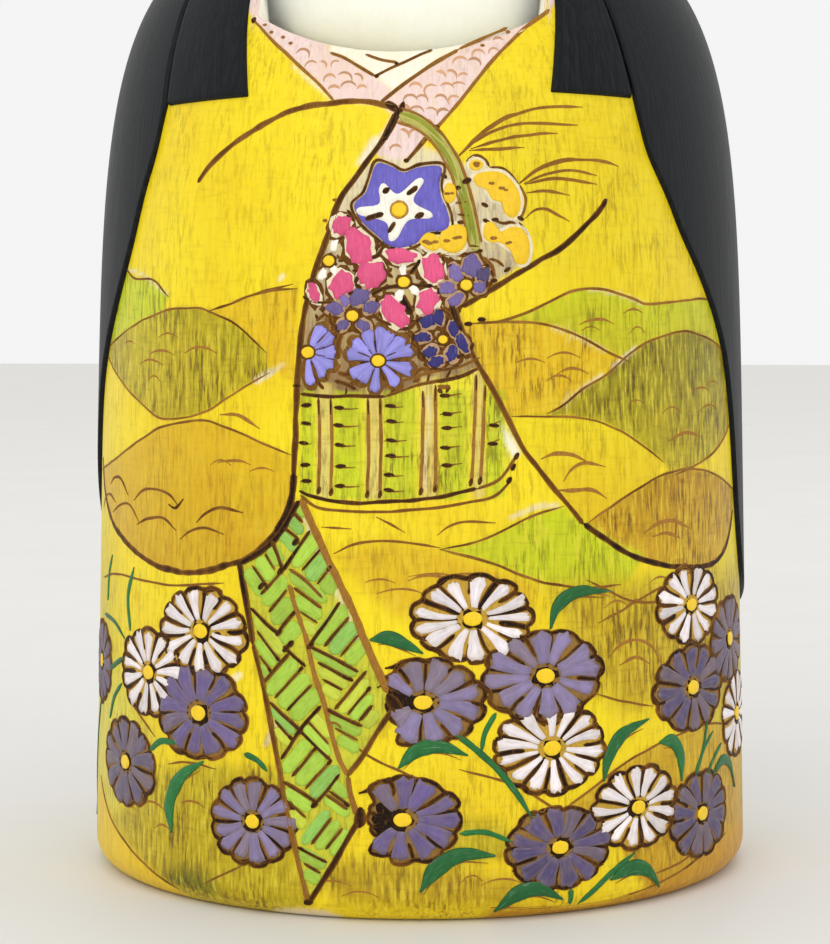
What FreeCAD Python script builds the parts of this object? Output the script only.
import FreeCAD, Part
import math
import os

# Kokeshi doll in turned wood: a broad, dome-shouldered body, a round head and the dowel
# that joins them. The doll stands on its flat base, faces -Y, and its left side is at +X.
# The origin is the centre of the base. All lengths are in millimetres.

# Body: a wall that tapers slightly and rolls over into a domed shoulder.
BASE_RADIUS = 50.4          # radius of the wall carried down to the base
WALL_TAPER = 0.022          # radius lost per millimetre of height
SHOULDER_START = 48.0       # height where the wall begins to roll inwards
SHOULDER_CLOSE = 141.6      # height where the shoulder curve would meet the axis
SHOULDER_POWER = 4.8        # how square the shoulder is, 2 being an ellipse
FOOT_ROUND = 4.0            # rounding between the wall and the base
RIM_HEIGHT = 132.0          # top of the rim around the head's seat
RIM_BREAK = 0.5             # broken edge inside the rim

# Head: a round block, wider than it is deep in its seat.
HEAD_RADIUS = 42.5
HEAD_EQUATOR = 163.0        # height of the widest circle
HEAD_TOP = 204.0
HEAD_LOWER_REACH = 68.0     # lower half-axis of the ellipse that shapes the cheeks
HEAD_FLOOR = 117.6          # height of the flat underside
CHIN_ROUND = 9.0            # rounding between the cheeks and the underside
SEAT_GAP = 0.12             # clearance between the head and its seat

# Dowel, pressed into the body; the head turns on it.
DOWEL_RADIUS = 8.0
DOWEL_BOTTOM = 95.0
DOWEL_TOP = 143.0
DOWEL_CHAMFER = 1.0
DOWEL_PRESS = 0.02          # radial interference in the body
TURN_CLEARANCE = 0.05       # radial clearance in the head
BORE_END_GAP = 1.0          # space left above and below the dowel

# Carved relief: the hair stands proud of the face and the robe.
HAIR_RELIEF = 0.6
LOCK_INNER_X = 21.0         # inner edge of the two front locks and of the side hair
LOCK_BOTTOM = 114.0         # height where the front locks are cut straight
FRINGE_HEIGHT = 181.0       # lower edge of the fringe on the head
FACE_BOTTOM = 119.0         # lower end of the carved face, hidden in the seat

# Neckline: a round scoop out of the front of the rim, which lets the chin show.
NECKLINE_RADIUS = 38.5
NECKLINE_LOW = 119.9        # lowest point of the neckline

# Edge of the hair below the front locks, down each side to the back: (degrees from the
# front, height). Below the last point the hair's straight hem runs round the back.
HAIR_EDGE_RIGHT_ARM = [(48, 114), (52.5, 101), (56, 94), (61, 87), (68, 79), (74, 71), (82, 60)]
HAIR_EDGE_LEFT_ARM = [(45.5, 114), (51.5, 100), (55.5, 95), (61, 89), (67, 82.5), (72, 75), (76.5, 61), (81, 46)]
HEM_RIGHT_ARM = 50.0        # height of the hem at the side of the doll's right arm
HEM_LEFT_ARM = 40.0
HEM_BACK = 29.0             # height of the hem at the middle of the back

PROFILE_STEPS = 24          # points that the wall curve passes through
REACH = 70.0                # larger than any radius; size of the cutting tools

AXIS = FreeCAD.Vector(0, 0, 1)
CENTRE = FreeCAD.Vector(0, 0, 0)


def wood_radius(height):
    """Radius of the body's plain wall and shoulder at a height."""
    wall = BASE_RADIUS - WALL_TAPER * height
    rise = max(0.0, (height - SHOULDER_START) / (SHOULDER_CLOSE - SHOULDER_START))
    return wall * (1.0 - rise ** SHOULDER_POWER) ** (1.0 / SHOULDER_POWER)


def wall_point(height, proud):
    """Point of the wall's profile, moved out along the wall's normal by `proud`."""
    step = 0.01
    slope = (wood_radius(height + step) - wood_radius(height - step)) / (2 * step)
    length = math.hypot(1.0, slope)
    radius = wood_radius(height) + proud / length
    return FreeCAD.Vector(radius, 0, height - proud * slope / length)


def point(radius, height):
    return FreeCAD.Vector(radius, 0, height)


def revolved(edges):
    """Solid turned about the doll's axis from a closed profile in the XZ plane."""
    face = Part.Face(Part.Wire(edges))
    return face.revolve(CENTRE, AXIS, 360)


def body_blank(proud):
    """Turned body before carving, with its surface `proud` of the plain wood."""
    heights = []
    for step in range(PROFILE_STEPS + 1):
        share = step / PROFILE_STEPS
        heights.append(FOOT_ROUND + (RIM_HEIGHT + 1.0 - FOOT_ROUND) * share)
    wall_points = [wall_point(height, proud) for height in heights]
    wall = Part.BSplineCurve()
    wall.interpolate(wall_points)
    foot_end = wall_points[0]
    foot_start = point(foot_end.x - FOOT_ROUND, 0)
    knee = FOOT_ROUND * (1.0 - math.sqrt(0.5))
    foot = Part.Arc(foot_start, point(foot_end.x - knee, knee), foot_end)
    top_end = wall_points[-1]
    axis_top = point(0, top_end.z)
    edges = [
        Part.makeLine(CENTRE, foot_start),
        foot.toShape(),
        wall.toShape(),
        Part.makeLine(top_end, axis_top),
        Part.makeLine(axis_top, CENTRE),
    ]
    blank = revolved(edges)
    above_rim = Part.makeCylinder(REACH, REACH, point(0, RIM_HEIGHT))
    return blank.cut(above_rim)


def head_blank(proud):
    """Turned head before carving, with its surface `proud` of the finished hair."""
    radius = HEAD_RADIUS + proud
    lower = HEAD_LOWER_REACH + proud
    upper = HEAD_TOP - HEAD_EQUATOR + proud
    floor = HEAD_FLOOR - proud
    middle = point(0, HEAD_EQUATOR)
    widest = point(radius, HEAD_EQUATOR)
    lower_ellipse = Part.Ellipse(point(0, HEAD_EQUATOR - lower), widest, middle)
    floor_angle = math.acos((HEAD_EQUATOR - floor) / lower)
    cheek = Part.Arc(lower_ellipse, floor_angle, math.pi / 2).toShape()
    upper_ellipse = Part.Ellipse(widest, point(0, HEAD_EQUATOR + upper), middle)
    crown = Part.Arc(upper_ellipse, 0, math.pi / 2).toShape()
    floor_edge = point(radius * math.sin(floor_angle), floor)
    axis_floor = point(0, floor)
    edges = [
        Part.makeLine(axis_floor, floor_edge),
        cheek,
        crown,
        Part.makeLine(point(0, HEAD_EQUATOR + upper), axis_floor),
    ]
    blank = revolved(edges)
    underside = [edge for edge in blank.Edges if edge_is_flat_circle(edge, floor)]
    return blank.makeFillet(CHIN_ROUND + proud, underside)


def edge_is_flat_circle(edge, height):
    """True for the circle at a height."""
    box = edge.BoundBox
    return abs(box.ZMin - height) < 1e-4 and abs(box.ZMax - height) < 1e-4


def carving(outline, towards_front):
    """Straight tool of a closed XZ outline, reaching from the axis plane to the front or back."""
    wire = Part.makePolygon([FreeCAD.Vector(x, 0, z) for x, z in outline + outline[:1]])
    direction = -REACH if towards_front else REACH
    return Part.Face(wire).extrude(FreeCAD.Vector(0, direction, 0))


def edge_to_outline(edge, side):
    """Hair edge as XZ points; side is +1 for +X and -1 for -X."""
    return [(side * wood_radius(z) * math.sin(math.radians(angle)), z) for angle, z in edge]


def make_body():
    """Body with its carved hair relief, head seat, neckline and dowel bore."""
    surround = Part.makeCylinder(REACH, RIM_HEIGHT + 10, point(0, -5)).cut(body_blank(0.0))
    left = edge_to_outline(HAIR_EDGE_LEFT_ARM, +1)
    right = edge_to_outline(HAIR_EDGE_RIGHT_ARM, -1)
    robe_front = (
        [(LOCK_INNER_X, RIM_HEIGHT + 5), (LOCK_INNER_X, LOCK_BOTTOM)]
        + left
        + [(REACH, HEM_LEFT_ARM), (REACH, -5), (-REACH, -5), (-REACH, HEM_RIGHT_ARM)]
        + list(reversed(right))
        + [(-LOCK_INNER_X, LOCK_BOTTOM), (-LOCK_INNER_X, RIM_HEIGHT + 5)]
    )
    robe_back = [
        (REACH, -5),
        (REACH, HEM_LEFT_ARM),
        (0.8 * BASE_RADIUS, 0.5 * (HEM_LEFT_ARM + HEM_BACK)),
        (0, HEM_BACK),
        (-0.8 * BASE_RADIUS, 0.5 * (HEM_RIGHT_ARM + HEM_BACK)),
        (-REACH, HEM_RIGHT_ARM),
        (-REACH, -5),
    ]
    body = body_blank(HAIR_RELIEF)
    body = body.cut(surround.common(carving(robe_front, True)))
    body = body.cut(surround.common(carving(robe_back, False)))

    body = body.cut(head_blank(SEAT_GAP))
    seat_radius = HEAD_RADIUS * math.sqrt(1 - ((HEAD_EQUATOR - RIM_HEIGHT) / HEAD_LOWER_REACH) ** 2)
    rim_flare = Part.makeCone(
        seat_radius, seat_radius + SEAT_GAP + RIM_BREAK, RIM_BREAK, point(0, RIM_HEIGHT - RIM_BREAK)
    )
    body = body.cut(rim_flare)

    scoop = Part.makeCylinder(
        NECKLINE_RADIUS, REACH, point(0, NECKLINE_LOW + NECKLINE_RADIUS), FreeCAD.Vector(0, -1, 0)
    )
    between_locks = Part.makeBox(2 * LOCK_INNER_X, REACH, REACH)
    between_locks.translate(FreeCAD.Vector(-LOCK_INNER_X, -REACH, NECKLINE_LOW - 5))
    body = body.cut(scoop.common(between_locks))

    bore_bottom = DOWEL_BOTTOM - BORE_END_GAP
    bore = Part.makeCylinder(DOWEL_RADIUS, HEAD_FLOOR - bore_bottom, point(0, bore_bottom))
    return body.cut(bore)


def make_head():
    """Head with its carved face and the bore that turns on the dowel."""
    surround = Part.makeCylinder(REACH, 2 * REACH, point(0, FACE_BOTTOM)).cut(head_blank(-HAIR_RELIEF))
    face_window = [
        (-LOCK_INNER_X, FACE_BOTTOM),
        (LOCK_INNER_X, FACE_BOTTOM),
        (LOCK_INNER_X, FRINGE_HEIGHT),
        (-LOCK_INNER_X, FRINGE_HEIGHT),
    ]
    head = head_blank(0.0).cut(surround.common(carving(face_window, True)))
    bore_top = DOWEL_TOP + BORE_END_GAP
    bore = Part.makeCylinder(
        DOWEL_RADIUS + DOWEL_PRESS + TURN_CLEARANCE, bore_top - HEAD_FLOOR + 5, point(0, HEAD_FLOOR - 5)
    )
    return head.cut(bore)


def make_neck_dowel():
    """Plain round peg with chamfered ends."""
    radius = DOWEL_RADIUS + DOWEL_PRESS
    edges = Part.makePolygon(
        [
            point(0, DOWEL_BOTTOM),
            point(radius - DOWEL_CHAMFER, DOWEL_BOTTOM),
            point(radius, DOWEL_BOTTOM + DOWEL_CHAMFER),
            point(radius, DOWEL_TOP - DOWEL_CHAMFER),
            point(radius - DOWEL_CHAMFER, DOWEL_TOP),
            point(0, DOWEL_TOP),
            point(0, DOWEL_BOTTOM),
        ]
    )
    return revolved(edges.Edges)


def single_solid(shape):
    """The one solid in a shape, checked to be sound."""
    solids = shape.Solids
    if len(solids) != 1 or not solids[0].isValid():
        raise ValueError("expected one valid solid, found %d" % len(solids))
    return solids[0]


NODES = {
    "body": make_body,
    "head": make_head,
    "neck_dowel": make_neck_dowel,
}

os.makedirs("parts", exist_ok=True)
for name, make in NODES.items():
    solid = single_solid(make())
    solid.exportStep("parts/%s.step" % name)
    box = solid.BoundBox
    print("%s  volume %.0f mm3  z %.2f to %.2f  x %.2f to %.2f" % (
        name, solid.Volume, box.ZMin, box.ZMax, box.XMin, box.XMax))
